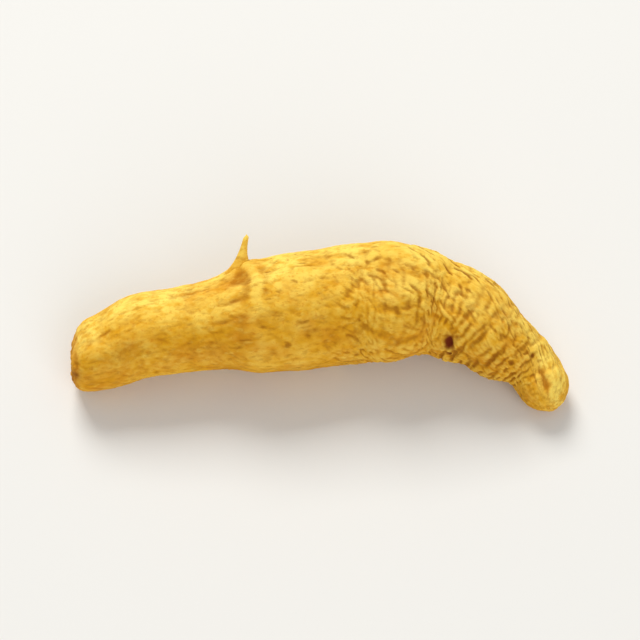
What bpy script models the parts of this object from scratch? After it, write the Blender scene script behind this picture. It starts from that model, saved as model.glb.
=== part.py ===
"""A dried turmeric finger: one branch of the rhizome, broken off and dried, lying on its side.

The body is one closed surface carried along a curved axis. Its radius at any place is the plain
thickness there plus the relief that growth and drying left: a swollen node, leaf-scar rings,
shrinkage folds, cracks across the bend and the pits of lost roots. Lengths below are in
millimetres and angles in degrees; the finished mesh is in metres. Places on the skin are given
by the distance along the axis from the broken end, and by the angle round it: 0 faces the back,
90 faces up, 180 the front and 270 the ground.
"""

import math

import bmesh
import bpy
import numpy as np

MM = 0.001

# The axis from the broken end to the bud tip. Each station is a place along it: to the right,
# to the back, the height of the lowest point of the skin above the ground, and the half
# thickness. A height below zero is a place where the finger rests.
AXIS_STATIONS = [
    (-19.3, -4.0, 0.10, 2.65),  # broken end
    (-17.9, -3.55, 0.05, 2.92),
    (-16.0, -2.85, -0.30, 3.27),  # first resting place
    (-13.5, -2.05, 0.05, 3.50),
    (-10.9, -1.7, 0.25, 3.54),
    (-8.7, -1.4, 0.30, 3.66),  # slender neck behind the swollen node
    (-6.9, -1.2, 0.25, 3.88),
    (-5.3, -1.1, 0.10, 4.30),
    (-2.4, -0.6, 0.0, 4.45),
    (1.0, 0.15, -0.10, 4.65),
    (4.2, 0.7, -0.22, 4.88),  # thickest place, and the second resting place
    (7.3, 0.5, 0.05, 4.73),
    (10.2, 0.3, 0.32, 4.08),  # the bend starts
    (12.8, -0.85, 0.35, 3.92),
    (15.2, -2.45, 0.30, 3.12),
    (17.5, -3.75, 0.10, 2.36),
    (18.8, -5.7, -0.28, 2.03),  # third resting place
    (19.2, -7.6, -0.10, 1.78),  # bud tip
]

# Rounding of the two ends: how far it reaches along the axis, and how square it is, where 2 is
# an ellipse and more is blunter. The broken end is dished a little in its middle, and slants:
# the side at the given angle is cut back, by this share of the distance from the axis.
BROKEN_END_REACH = 2.1
BROKEN_END_SQUARENESS = 2.4
BROKEN_END_DISH = 0.3
BROKEN_END_DISH_SHARE = 0.45
BROKEN_END_SLANT = 0.34
BROKEN_END_CUT_SIDE = 30
BROKEN_END_SLANT_REACH = 3.5
TIP_REACH = 2.1
TIP_SQUARENESS = 2.1

# The grid that the surface is worked out on. Its rows stand closer together at the swollen node
# and from the shoulder on.
ROWS_PER_CAP = 8
BODY_ROWS = 98
COLUMNS = 44
NODE_CROWDING = 1.6
NODE_CROWDING_REACH = 1.3
BEND_CROWDING = 0.9
BEND_CROWDING_REACH = 4.0

# The whole skin is lumpy, with broad ridges and hollows that run lengthwise.
LUMP_SIZE = 5.5
LUMP_HEIGHT = 0.46
FLANK_LENGTH = 15.0
FLANK_WIDTH = 3.0
FLANK_HEIGHT = 0.34
NOISE_RADIUS = 4.0
NOISE_SEED = 17
NOISE_HEIGHT = 1.6
NOISE_TABLE_SIZE = 1024

# Leaf-scar rings: distance along, groove depth, lip height, half width, and how far round the
# finger they reach in degrees from their middle. They stand out most on the upper side.
SWOLLEN_NODE = 15.0
RINGS = [
    (6.5, 0.06, 0.05, 0.38, 90),
    (10.8, 0.05, 0.04, 0.36, 90),
    (SWOLLEN_NODE, 0.32, 0.22, 0.50, 55),
    (25.0, 0.06, 0.05, 0.42, 90),
    (30.8, 0.10, 0.08, 0.38, 100),
    (35.0, 0.12, 0.10, 0.36, 100),
    (38.2, 0.11, 0.08, 0.34, 100),
    (40.5, 0.09, 0.06, 0.32, 100),
]
RING_SLANT = 0.3
RING_SIDE = 84
RING_FAINTEST = 0.12
GROOVE_BEHIND = 0.6

# Shrinkage folds that run along the finger, deepest past the shoulder.
SHOULDER_START = 19.0
SHOULDER_END = 27.0
FOLD_LENGTH = 3.2
FOLD_SPACING = 1.7
FOLD_DEPTH = 0.36
FOLD_SHARPNESS = 0.24
FAINTEST_FOLD = 0.3

# Pits where roots broke off: distance along, angle, radius, depth. Each has a low raised rim,
# whose height is a share of the depth, and whose place and width are shares of the radius.
ROOT_PITS = [
    (0.6, 151, 0.34, 0.26),
    (31.7, 153, 0.44, 0.54),
    (29.9, 33, 0.38, 0.28),
    (38.7, 84, 0.30, 0.22),
    (37.8, 126, 0.30, 0.22),
    (9.0, 318, 0.44, 0.40),
    (20.2, 338, 0.52, 0.52),
    (22.6, 228, 0.46, 0.46),
    (12.2, 222, 0.40, 0.34),
    (35.5, 345, 0.38, 0.34),
]
PIT_RIM_HEIGHT = 0.28
PIT_RIM_PLACE = 1.7
PIT_RIM_WIDTH = 0.5

# Cracks across the bend: distance along, angle, half length in degrees, depth. They run a
# little forward as they climb.
CRACKS = [
    (32.5, 196, 26, 0.20),
    (33.0, 112, 20, 0.17),
    (33.7, 176, 30, 0.28),
    (34.5, 128, 26, 0.22),
    (35.0, 196, 24, 0.25),
    (36.2, 132, 40, 0.30),
    (37.0, 186, 26, 0.23),
    (37.5, 104, 26, 0.20),
    (38.5, 168, 26, 0.20),
    (33.9, 330, 30, 0.20),
    (36.6, 300, 26, 0.19),
]
CRACK_HALF_WIDTH = 0.24
CRACK_CLIMB = 0.007

# The groove that runs lengthwise over the bud tip.
TIP_GROOVE_AT = 40.9
TIP_GROOVE_ANGLE = 94
TIP_GROOVE_HALF_LENGTH = 1.3
TIP_GROOVE_HALF_WIDTH = 0.34
TIP_GROOVE_DEPTH = 0.26

# The dried rest of a scale leaf that stands on the swollen node like a thorn. Its foot flares,
# and the skin swells towards it.
THORN_AT = 14.95
THORN_ANGLE = 38
THORN_HEIGHT = 2.25
THORN_SUNK = 0.9
THORN_BASE_WIDTH = 4.0
THORN_BASE_THICKNESS = 2.0
THORN_TIP_WIDTH = 0.62
THORN_BACKSET = 0.6
THORN_LEAN = 1.4
THORN_NARROWING = 2.6
THORN_RINGS = 10
THORN_SIDES = 12
THORN_POINT = 0.2
SWELLING_HEIGHT = 0.3
SWELLING_LENGTH = 1.7
SWELLING_WIDTH = 1.1

SKIN_COLOUR = (0.69, 0.40, 0.075, 1.0)
SKIN_ROUGHNESS = 0.85


def clear_scene():
    """Remove every object that the file opened with."""
    for thing in list(bpy.data.objects):
        bpy.data.objects.remove(thing)


def bell(distance, half_width):
    """A smooth bump that is 1 at distance 0 and fades over about two half widths."""
    return np.exp(-((distance / half_width) ** 2))


def fade(value, start, end):
    """Smooth step from 0 at start to 1 at end."""
    t = np.clip((value - start) / (end - start), 0.0, 1.0)
    return t * t * (3.0 - 2.0 * t)


def angle_off(angle, centre):
    """Signed angle in degrees from the centre, between -180 and 180."""
    return (np.degrees(angle) - centre + 180.0) % 360.0 - 180.0


def aside(angle, centre):
    """Distance round a finger of even thickness, from the centre angle."""
    return np.radians(angle_off(angle, centre)) * NOISE_RADIUS


def smooth_through(knots, values, at):
    """Cubic curve through the values at the knots, with slopes taken from the neighbours."""
    slopes = np.gradient(values, knots, axis=0)
    i = np.clip(np.searchsorted(knots, at, side="right") - 1, 0, len(knots) - 2)
    step = (knots[i + 1] - knots[i])[:, None]
    t = ((at - knots[i]) / (knots[i + 1] - knots[i]))[:, None]
    start = (1 + 2 * t) * (1 - t) ** 2 * values[i]
    leave = t * (1 - t) ** 2 * slopes[i] * step
    arrive = t * t * (t - 1) * slopes[i + 1] * step
    end = t * t * (3 - 2 * t) * values[i + 1]
    return start + leave + arrive + end


def lattice_noise(x, y, z, seed):
    """Smooth noise from about -1 to 1: random slopes on a cube lattice, blended between corners.
    A corner finds its slope in a table, by its three indices times primes, mixed bit by bit."""
    slopes = np.random.default_rng(seed).normal(size=(NOISE_TABLE_SIZE, 3))
    slopes /= np.linalg.norm(slopes, axis=1)[:, None]
    point = np.stack([x, y, z], axis=-1)
    cell = np.floor(point).astype(np.int64)
    inside = point - cell
    blend = inside ** 3 * (inside * (inside * 6 - 15) + 10)
    total = np.zeros(point.shape[:-1])
    for corner in np.ndindex(2, 2, 2):
        node = cell + np.array(corner)
        key = (node[..., 0] * 73856093) ^ (node[..., 1] * 19349663) ^ (node[..., 2] * 83492791)
        slope = slopes[key % NOISE_TABLE_SIZE]
        weight = np.prod(np.where(np.array(corner), blend, 1 - blend), axis=-1)
        total += weight * np.sum(slope * (inside - np.array(corner)), axis=-1)
    return total * NOISE_HEIGHT


def skin_noise(along, angle, length, width, seed):
    """Lattice noise laid on the skin, drawn out to the given length and width, with no seam."""
    across = NOISE_RADIUS / width
    return lattice_noise(along / length, across * np.cos(angle), across * np.sin(angle), seed)


def lumps_and_flanks(along, angle):
    """Soft lumps of every direction, and broad ridges along the finger."""
    lumps = LUMP_HEIGHT * skin_noise(along, angle, LUMP_SIZE, LUMP_SIZE, NOISE_SEED)
    flanks = FLANK_HEIGHT * skin_noise(along, angle, FLANK_LENGTH, FLANK_WIDTH, NOISE_SEED + 1)
    return lumps + flanks


def folds(along, angle):
    """Narrow valleys where drawn-out noise passes through zero, faint before the shoulder."""
    creases = skin_noise(along, angle, FOLD_LENGTH, FOLD_SPACING, NOISE_SEED + 2)
    strength = FAINTEST_FOLD + (1 - FAINTEST_FOLD) * fade(along, SHOULDER_START, SHOULDER_END)
    return -FOLD_DEPTH * strength * bell(creases, FOLD_SHARPNESS)


def rings(along, angle):
    """Each ring is a groove across the finger with a lip on the side towards the tip, and both
    fade away from the upper side."""
    height = np.zeros_like(along)
    for place, groove, lip, half_width, reach in RINGS:
        past = along - place - RING_SLANT * np.cos(angle)
        valley = groove * bell(past + GROOVE_BEHIND * half_width, half_width)
        shape = lip * bell(past - half_width, half_width) - valley
        height += shape * (RING_FAINTEST + (1 - RING_FAINTEST) * bell(angle_off(angle, RING_SIDE), reach))
    return height


def root_pits(along, angle):
    """Round pits, each inside a low rim."""
    height = np.zeros_like(along)
    for place, centre, radius, depth in ROOT_PITS:
        away = np.hypot(along - place, aside(angle, centre))
        height -= depth * bell(away, radius)
        height += PIT_RIM_HEIGHT * depth * bell(away - PIT_RIM_PLACE * radius, PIT_RIM_WIDTH * radius)
    return height


def cracks(along, angle):
    """Short narrow valleys across the finger."""
    height = np.zeros_like(along)
    for place, centre, half_length, depth in CRACKS:
        off = angle_off(angle, centre)
        across = along - place + CRACK_CLIMB * off
        height -= depth * bell(across, CRACK_HALF_WIDTH) * bell(off, half_length)
    return height


def tip_groove(along, angle, half):
    """One valley along the bud tip."""
    sideways = np.radians(angle_off(angle, TIP_GROOVE_ANGLE)) * half
    lengthwise = bell(along - TIP_GROOVE_AT, TIP_GROOVE_HALF_LENGTH)
    return -TIP_GROOVE_DEPTH * lengthwise * bell(sideways, TIP_GROOVE_HALF_WIDTH)


def swelling(along, angle):
    """The skin rises towards the thorn's foot."""
    lengthwise = (along - THORN_AT) / SWELLING_LENGTH
    return SWELLING_HEIGHT * bell(np.hypot(lengthwise, aside(angle, THORN_ANGLE) / SWELLING_WIDTH), 1.0)


def relief(along, angle, half):
    """Height of the skin above its plain thickness. Slender stretches have lower lumps."""
    thickest = max(station[3] for station in AXIS_STATIONS)
    slender = half / thickest
    soft = slender * lumps_and_flanks(along, angle) + slender ** 2 * folds(along, angle)
    scars = rings(along, angle) + root_pits(along, angle) + cracks(along, angle)
    return soft + scars + tip_groove(along, angle, half) + swelling(along, angle)


def axis_knots():
    """Axis points with their half thickness, and how far along the axis each stands."""
    stations = np.array(AXIS_STATIONS)
    places = stations.copy()
    places[:, 2] += stations[:, 3]
    steps = np.linalg.norm(np.diff(places[:, :3], axis=0), axis=1)
    return np.concatenate([[0.0], np.cumsum(steps)]), places


def axis_frames(along):
    """Points on the axis, the directions across it (level) and up from it, and the thickness."""
    knots, places = axis_knots()
    reach = 0.05
    smooth = smooth_through(knots, places, along)
    ahead = smooth_through(knots, places, np.minimum(along + reach, knots[-1]))
    behind = smooth_through(knots, places, np.maximum(along - reach, 0.0))
    forward = (ahead - behind)[:, :3]
    forward /= np.linalg.norm(forward, axis=1)[:, None]
    across = np.cross(np.array([0.0, 0.0, 1.0]), forward)
    across /= np.linalg.norm(across, axis=1)[:, None]
    up = np.cross(forward, across)
    return smooth[:, :3], across, up, smooth[:, 3]


def cap(reach, squareness):
    """Distance from the end and share of the full width for each row that rounds an end off."""
    turn = np.linspace(0.0, math.pi / 2, ROWS_PER_CAP + 1)[1:]
    power = 2 / squareness
    return reach * (1 - np.cos(turn) ** power), np.sin(turn) ** power


def grid_rows():
    """Distances along the axis for each row, and how far each has closed towards an end."""
    length = axis_knots()[0][-1]
    start_along, start_width = cap(BROKEN_END_REACH, BROKEN_END_SQUARENESS)
    tip_back, tip_width = cap(TIP_REACH, TIP_SQUARENESS)

    fine = np.linspace(BROKEN_END_REACH, length - TIP_REACH, 2000)
    near_node = bell(fine - SWOLLEN_NODE, NODE_CROWDING_REACH)
    past_shoulder = fade(fine, SHOULDER_END, SHOULDER_END + BEND_CROWDING_REACH)
    count = np.cumsum(1.0 + NODE_CROWDING * near_node + BEND_CROWDING * past_shoulder)
    wanted = np.linspace(count[0], count[-1], BODY_ROWS + 2)[1:-1]
    body_along = np.interp(wanted, count, fine)

    along = np.concatenate([start_along, body_along, (length - tip_back)[::-1]])
    width = np.concatenate([start_width, np.ones_like(body_along), tip_width[::-1]])
    return along, width


def finger_points():
    """Grid of points of the skin, and the two closing points at its ends."""
    rows, closing = grid_rows()
    columns = np.linspace(0.0, 2 * math.pi, COLUMNS, endpoint=False)
    along, angle = np.meshgrid(rows, columns, indexing="ij")
    centre, across, up, half = axis_frames(rows)
    half = np.repeat(half[:, None], COLUMNS, axis=1)
    radius = (half + relief(along, angle, half)) * closing[:, None]
    outward = np.cos(angle)[..., None] * across[:, None] + np.sin(angle)[..., None] * up[:, None]
    points = centre[:, None] + radius[..., None] * outward

    cut_side = np.cos(np.radians(angle_off(angle, BROKEN_END_CUT_SIDE)))
    cut_back = BROKEN_END_SLANT * radius * cut_side * (1 - fade(along, 0.0, BROKEN_END_SLANT_REACH))
    dish = BROKEN_END_DISH * bell(closing, BROKEN_END_DISH_SHARE) * (rows < BROKEN_END_REACH)
    forward = np.cross(across, up)
    points += (cut_back + dish[:, None])[..., None] * forward[:, None]

    ends = axis_frames(axis_knots()[0][[0, -1]])[0]
    ends[0] += BROKEN_END_DISH * forward[0]
    return points, ends


def rest_on_ground(points):
    """Flatten whatever reaches below the ground, as a finger is worn flat where it lies."""
    settled = points.copy()
    settled[..., 2] = np.maximum(settled[..., 2], 0.0)
    return settled


def thorn_points():
    """Grid of the thorn: flat rings that narrow and lean from inside the node up to the point."""
    centre, across, up, half = axis_frames(np.array([THORN_AT]))
    turn = math.radians(THORN_ANGLE)
    outward = math.cos(turn) * across[0] + math.sin(turn) * up[0]
    forward = np.cross(across[0], up[0])
    sideways = np.cross(outward, forward)
    rise = np.linspace(0.0, 1.0, THORN_RINGS)
    height = half[0] - THORN_SUNK + rise * (THORN_HEIGHT + THORN_SUNK)
    spread = (1 - rise) ** THORN_NARROWING
    width = THORN_TIP_WIDTH + (THORN_BASE_WIDTH - THORN_TIP_WIDTH) * spread
    thickness = THORN_TIP_WIDTH + (THORN_BASE_THICKNESS - THORN_TIP_WIDTH) * spread
    lean = THORN_LEAN * rise - THORN_BACKSET
    turns = np.linspace(0.0, 2 * math.pi, THORN_SIDES, endpoint=False)
    middle = centre[0] + height[:, None] * outward + lean[:, None] * forward
    round_forward = 0.5 * width[:, None, None] * np.cos(turns)[None, :, None] * forward
    round_sideways = 0.5 * thickness[:, None, None] * np.sin(turns)[None, :, None] * sideways
    points = middle[:, None] + round_forward + round_sideways
    ends = np.array([middle[0], middle[-1] + THORN_POINT * outward])
    return points, ends


def closed_mesh(name, points, ends):
    """Mesh of a grid that closes round its columns and ends in a fan at each end point."""
    row_count, column_count = points.shape[:2]
    corners = [tuple(p) for p in points.reshape(-1, 3) * MM]
    corners += [tuple(p) for p in ends * MM]
    first, last = len(corners) - 2, len(corners) - 1
    top = (row_count - 1) * column_count
    faces = []
    for column in range(column_count):
        beside = (column + 1) % column_count
        faces.append((first, beside, column))
        faces.append((last, top + column, top + beside))
        for row in range(row_count - 1):
            here, above = row * column_count, (row + 1) * column_count
            faces.append((here + column, here + beside, above + beside, above + column))
    mesh = bpy.data.meshes.new(name)
    mesh.from_pydata(corners, [], faces)
    shape = bmesh.new()
    shape.from_mesh(mesh)
    bmesh.ops.triangulate(shape, faces=shape.faces)
    bmesh.ops.recalc_face_normals(shape, faces=shape.faces)
    shape.to_mesh(mesh)
    shape.free()
    mesh.shade_smooth()
    return mesh


def place(name, mesh):
    """Put a mesh into the scene as an object."""
    thing = bpy.data.objects.new(name, mesh)
    bpy.context.scene.collection.objects.link(thing)
    return thing


def fuse(body, addition):
    """Join the addition to the body by a Boolean union, and remove it."""
    union = body.modifiers.new("fused scale leaf", "BOOLEAN")
    union.operation = "UNION"
    union.solver = "EXACT"
    union.object = addition
    bpy.context.view_layer.update()
    evaluated = body.evaluated_get(bpy.context.evaluated_depsgraph_get())
    joined = bpy.data.meshes.new_from_object(evaluated)
    body.modifiers.remove(union)
    body.data = joined
    bpy.data.objects.remove(addition)


def stand_over_origin(mesh):
    """Move the mesh so that the middle of its footprint is at the origin and it rests on z = 0."""
    count = len(mesh.vertices)
    flat = np.empty(count * 3)
    mesh.vertices.foreach_get("co", flat)
    corners = flat.reshape(count, 3)
    low, high = corners.min(axis=0), corners.max(axis=0)
    corners -= np.array([(low[0] + high[0]) / 2, (low[1] + high[1]) / 2, low[2]])
    mesh.vertices.foreach_set("co", corners.ravel())
    mesh.update()


def skin_material():
    """Matte, dusty golden skin."""
    material = bpy.data.materials.new("dried turmeric skin")
    material.use_nodes = True
    shader = material.node_tree.nodes["Principled BSDF"]
    shader.inputs["Base Color"].default_value = SKIN_COLOUR
    shader.inputs["Roughness"].default_value = SKIN_ROUGHNESS
    shader.inputs["Metallic"].default_value = 0.0
    return material


def main():
    """Build the finger with its thorn, and stand it over the origin."""
    clear_scene()
    points, ends = finger_points()
    finger = place("turmeric_finger", closed_mesh("turmeric_finger", rest_on_ground(points), ends))
    thorn = place("scale leaf", closed_mesh("scale leaf", *thorn_points()))
    fuse(finger, thorn)
    stand_over_origin(finger.data)
    finger.data.materials.clear()
    finger.data.materials.append(skin_material())


main()
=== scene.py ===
# %% [markdown]
# # A dried turmeric finger
#
# Turmeric grows underground as a swollen stem. A side shoot of it, broken off, boiled and dried
# in the sun, is called a finger. This lesson builds the looks of one finger around a plain solid
# of it: the skin as a fine surface worked out with numpy, then a matte, dusty material that
# follows the wrinkles, and last the light and the camera.

# %% Load the frame
import math

import bpy
import numpy as np
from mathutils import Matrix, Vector


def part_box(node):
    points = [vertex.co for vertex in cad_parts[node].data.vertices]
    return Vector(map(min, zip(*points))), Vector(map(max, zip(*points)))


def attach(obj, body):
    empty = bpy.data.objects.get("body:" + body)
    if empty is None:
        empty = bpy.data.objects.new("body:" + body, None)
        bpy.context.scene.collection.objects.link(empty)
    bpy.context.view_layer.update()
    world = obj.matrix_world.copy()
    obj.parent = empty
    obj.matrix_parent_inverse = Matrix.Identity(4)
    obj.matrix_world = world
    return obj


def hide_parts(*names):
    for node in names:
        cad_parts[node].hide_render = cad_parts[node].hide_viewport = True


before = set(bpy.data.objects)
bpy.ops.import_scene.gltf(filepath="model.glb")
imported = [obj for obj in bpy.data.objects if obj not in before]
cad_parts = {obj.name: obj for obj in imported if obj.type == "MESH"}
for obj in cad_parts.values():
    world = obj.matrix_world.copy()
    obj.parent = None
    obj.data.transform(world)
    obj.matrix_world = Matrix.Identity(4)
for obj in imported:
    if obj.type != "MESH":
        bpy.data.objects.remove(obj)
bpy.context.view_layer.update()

NODE = "turmeric_finger"
MM = 0.001
low_corner, high_corner = (np.array(corner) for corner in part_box(NODE))
print("frame box in mm:", (high_corner - low_corner) / MM)

# %% [markdown]
# ## The axis
#
# A rhizome thickens along one line as it grows, so the surest way to draw it is to lay down that
# line first. One could sculpt a lump by hand or skin a chain of balls, but a curve through a few
# stations keeps every place on the skin easy to name: so far along, and so far round. The
# stations are the ones that the solid was drawn with, so the two forms agree.

# %% Stations along the axis
# To the right, to the back, the height of the lowest skin above the ground, half the thickness.
AXIS_STATIONS = np.array([
    (-19.3, -4.0, 0.10, 2.65),
    (-17.9, -3.55, 0.05, 2.92),
    (-16.0, -2.85, -0.30, 3.27),
    (-13.5, -2.05, 0.05, 3.50),
    (-10.9, -1.7, 0.25, 3.54),
    (-8.7, -1.4, 0.30, 3.66),
    (-6.9, -1.2, 0.25, 3.88),
    (-5.3, -1.1, 0.10, 4.30),
    (-2.4, -0.6, 0.0, 4.45),
    (1.0, 0.15, -0.10, 4.65),
    (4.2, 0.7, -0.22, 4.88),
    (7.3, 0.5, 0.05, 4.73),
    (10.2, 0.3, 0.32, 4.08),
    (12.8, -0.85, 0.35, 3.92),
    (15.2, -2.45, 0.30, 3.12),
    (17.5, -3.75, 0.10, 2.36),
    (18.8, -5.7, -0.28, 2.03),
    (19.2, -7.6, -0.10, 1.78),
])
THICKEST = AXIS_STATIONS[:, 3].max()
axis_places = AXIS_STATIONS.copy()
axis_places[:, 2] += AXIS_STATIONS[:, 3]
station_gaps = np.linalg.norm(np.diff(axis_places[:, :3], axis=0), axis=1)
axis_knots = np.concatenate([[0.0], np.cumsum(station_gaps)])
axis_length = axis_knots[-1]
print("axis length in mm:", round(axis_length, 2))


# %% A smooth curve through the stations
def smooth_through(knots, values, at):
    """Cubic between each two knots: it meets both values, and its slope at a knot is the slope
    between that knot's neighbours."""
    slopes = np.gradient(values, knots, axis=0)
    i = np.clip(np.searchsorted(knots, at, side="right") - 1, 0, len(knots) - 2)
    step = (knots[i + 1] - knots[i])[:, None]
    t = ((at - knots[i]) / (knots[i + 1] - knots[i]))[:, None]
    start = (1 + 2 * t) * (1 - t) ** 2 * values[i]
    leave = t * (1 - t) ** 2 * slopes[i] * step
    arrive = t * t * (t - 1) * slopes[i + 1] * step
    end = t * t * (3 - 2 * t) * values[i + 1]
    return start + leave + arrive + end


def unit(vectors):
    """Each row divided by its own length."""
    return vectors / np.linalg.norm(vectors, axis=-1, keepdims=True)


FORWARD_REACH = 1.6


def axis_frames(at):
    """Point on the axis, the level direction across it, the direction up from it, and half the
    thickness. Forward goes from a little behind to a little ahead, so that the rows turn evenly
    through the bend. Across is up-in-the-world crossed with forward; up is forward crossed with
    across."""
    here = smooth_through(axis_knots, axis_places, at)
    ahead = smooth_through(axis_knots, axis_places, np.minimum(at + FORWARD_REACH, axis_length))
    behind = smooth_through(axis_knots, axis_places, np.maximum(at - FORWARD_REACH, 0.0))
    forward = unit((ahead - behind)[:, :3])
    across = unit(np.cross(np.array([0.0, 0.0, 1.0]), forward))
    return here[:, :3], across, np.cross(forward, across), here[:, 3]


# %% [markdown]
# ## The grid
#
# Rows run round the finger and columns along it. The rows stand closer where the skin is
# wrinkled, because a wrinkle needs four or five rows to look round. The two ends close with the
# rounding of a squared ellipse: the broken end is blunt and the bud tip is nearly a ball.

# %% Rows and columns
ROWS_PER_CAP = 28
BODY_ROWS = 346
COLUMNS = 238
CROWDING, CROWDING_START, CROWDING_END = 0.85, 18.0, 25.0
COUNTING_STEPS = 4000
CAP_EVENNESS = 1.3
BROKEN_END_REACH = 2.1
BROKEN_END_SQUARENESS = 2.4
TIP_REACH = 2.1
TIP_SQUARENESS = 2.1


def cap(reach, squareness):
    """Distance from the end and share of the full width, for rows that round an end off. With a
    turn from 0 to 90 degrees, the width is its sine and the distance one minus its cosine, each
    raised to two over the squareness. The turn grows slowly at first, which keeps rows even."""
    turn = math.pi / 2 * np.linspace(0.0, 1.0, ROWS_PER_CAP + 1)[1:] ** CAP_EVENNESS
    power = 2 / squareness
    return reach * (1 - np.cos(turn) ** power), np.sin(turn) ** power


def fade(value, start, end):
    """A smooth step from 0 at start to 1 at end."""
    t = np.clip((value - start) / (end - start), 0.0, 1.0)
    return t * t * (3.0 - 2.0 * t)


start_along, start_width = cap(BROKEN_END_REACH, BROKEN_END_SQUARENESS)
tip_back, tip_width = cap(TIP_REACH, TIP_SQUARENESS)
fine = np.linspace(BROKEN_END_REACH, axis_length - TIP_REACH, COUNTING_STEPS)
count = np.cumsum(1.0 + CROWDING * fade(fine, CROWDING_START, CROWDING_END))
body_along = np.interp(np.linspace(count[0], count[-1], BODY_ROWS + 2)[1:-1], count, fine)
row_along = np.concatenate([start_along, body_along, (axis_length - tip_back)[::-1]])
row_width = np.concatenate([start_width, np.ones(BODY_ROWS), tip_width[::-1]])
column_angle = np.linspace(0.0, 2 * math.pi, COLUMNS, endpoint=False)
along, angle = np.meshgrid(row_along, column_angle, indexing="ij")
closing = np.repeat(row_width[:, None], COLUMNS, axis=1)
centre, across, up, row_half = axis_frames(row_along)
half = np.repeat(row_half[:, None], COLUMNS, axis=1)
print("grid:", along.shape, "row gaps in mm:", np.diff(body_along)[[0, -1]].round(3))

# %% [markdown]
# ## Chance
#
# Nothing that grows is even, so every part of the relief needs some chance in it. Blender's own
# noise answers one point at a time from Python, which is slow over a hundred thousand points, so
# the two kinds that are needed here are worked out as whole arrays. Both are laid on the finger
# as if it were straight, and that is why the wrinkles follow the bend.

# %% Lattice noise and cells
# The noise is laid on a straight cylinder of one radius, in mm, and the gain brings it to about
# -1 to 1. The primes only have to be large and unlike each other.
NOISE_RADIUS = 4.0
NOISE_SEED = 17
NOISE_GAIN = 1.6
TABLE_SIZE = 1024
PRIMES = (73856093, 19349663, 83492791)


def lattice_key(cell):
    """A number for each cube of the lattice: its three indices times primes, mixed bit by bit."""
    return (cell[..., 0] * PRIMES[0]) ^ (cell[..., 1] * PRIMES[1]) ^ (cell[..., 2] * PRIMES[2])


def lattice_noise(point, seed):
    """Random slopes at the corners of a cube lattice. At a point, each of the eight corners round
    it gives slope times distance, and a smooth fade blends the eight."""
    slopes = unit(np.random.default_rng(seed).normal(size=(TABLE_SIZE, 3)))
    cell = np.floor(point).astype(np.int64)
    inside = point - cell
    blend = inside ** 3 * (inside * (inside * 6 - 15) + 10)
    total = np.zeros(point.shape[:-1])
    for corner in np.ndindex(2, 2, 2):
        slope = slopes[lattice_key(cell + np.array(corner)) % TABLE_SIZE]
        weight = np.prod(np.where(np.array(corner), blend, 1 - blend), axis=-1)
        total += weight * np.sum(slope * (inside - np.array(corner)), axis=-1)
    return total * NOISE_GAIN


def cell_walls(point, seed):
    """One random point lies in each cube of a lattice. The result is how much farther the second
    nearest of them is than the nearest, so it is 0 on the walls between cells."""
    scatter = np.random.default_rng(seed).random((TABLE_SIZE, 3))
    cube = np.floor(point).astype(np.int64)
    nearest = np.full(point.shape[:-1], np.inf)
    second = nearest.copy()
    for corner in np.ndindex(3, 3, 3):
        neighbour = cube + np.array(corner) - 1
        seat = neighbour + scatter[lattice_key(neighbour) % TABLE_SIZE]
        away = np.linalg.norm(seat - point, axis=-1)
        second = np.minimum(second, np.maximum(nearest, away))
        nearest = np.minimum(nearest, away)
    return second - nearest


# %% Places on the finger drawn straight
WANDER_SCALE, WANDER_REACH = 0.7, 0.38


def on_cylinder(length, width):
    """The skin as a straight cylinder, measured in lengths along it and widths round it."""
    reach = NOISE_RADIUS / width
    return np.stack([along / length, reach * np.cos(angle), reach * np.sin(angle)], axis=-1)


def on_skin(length, width):
    """The same, but the cylinder closes at its ends as the finger does, so that no pattern runs
    together in the middle of an end."""
    return on_cylinder(length, width) * np.stack([np.ones_like(along), closing, closing], axis=-1)


def wandering(point, seed):
    """Places moved aside by noise, so that cells lose their straight walls."""
    drift = [lattice_noise(WANDER_SCALE * point, seed + axis) for axis in range(3)]
    return point + WANDER_REACH * np.stack(drift, axis=-1)


def bell(distance, half_width):
    """A smooth bump: 1 at distance 0, fading over about two half widths."""
    return np.exp(-((distance / half_width) ** 2))


def angle_off(centre_angle):
    """Degrees from an angle, between -180 and 180. 0 is the back, 90 the top, 180 the front."""
    return (np.degrees(angle) - centre_angle + 180.0) % 360.0 - 180.0


# %% [markdown]
# ## The main relief
#
# These are the forms that the solid has too: soft lumps, broad ridges, the swollen node with its
# groove and lip, fainter leaf scars, root pits, the cracks across the bend and one groove over
# the bud tip. Only the hollow and the swelling of the second cell are not in the solid. One could
# sculpt all this by hand, but as a sum of bells, each a height above the plain thickness, every
# form keeps a place and a size that can be read and changed.

# %% Lumps, flanks and folds
LUMP_SIZE, LUMP_HEIGHT = 5.5, 0.46
FLANK_LENGTH, FLANK_WIDTH, FLANK_HEIGHT = 15.0, 3.0, 0.34
FOLD_LENGTH, FOLD_SPACING, FOLD_DEPTH, FOLD_SHARPNESS = 3.2, 1.7, 0.13, 0.30
SMOOTH_FOLD_SHARE = 0.3
SHOULDER_START, SHOULDER_END = 19.0, 27.0

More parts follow.
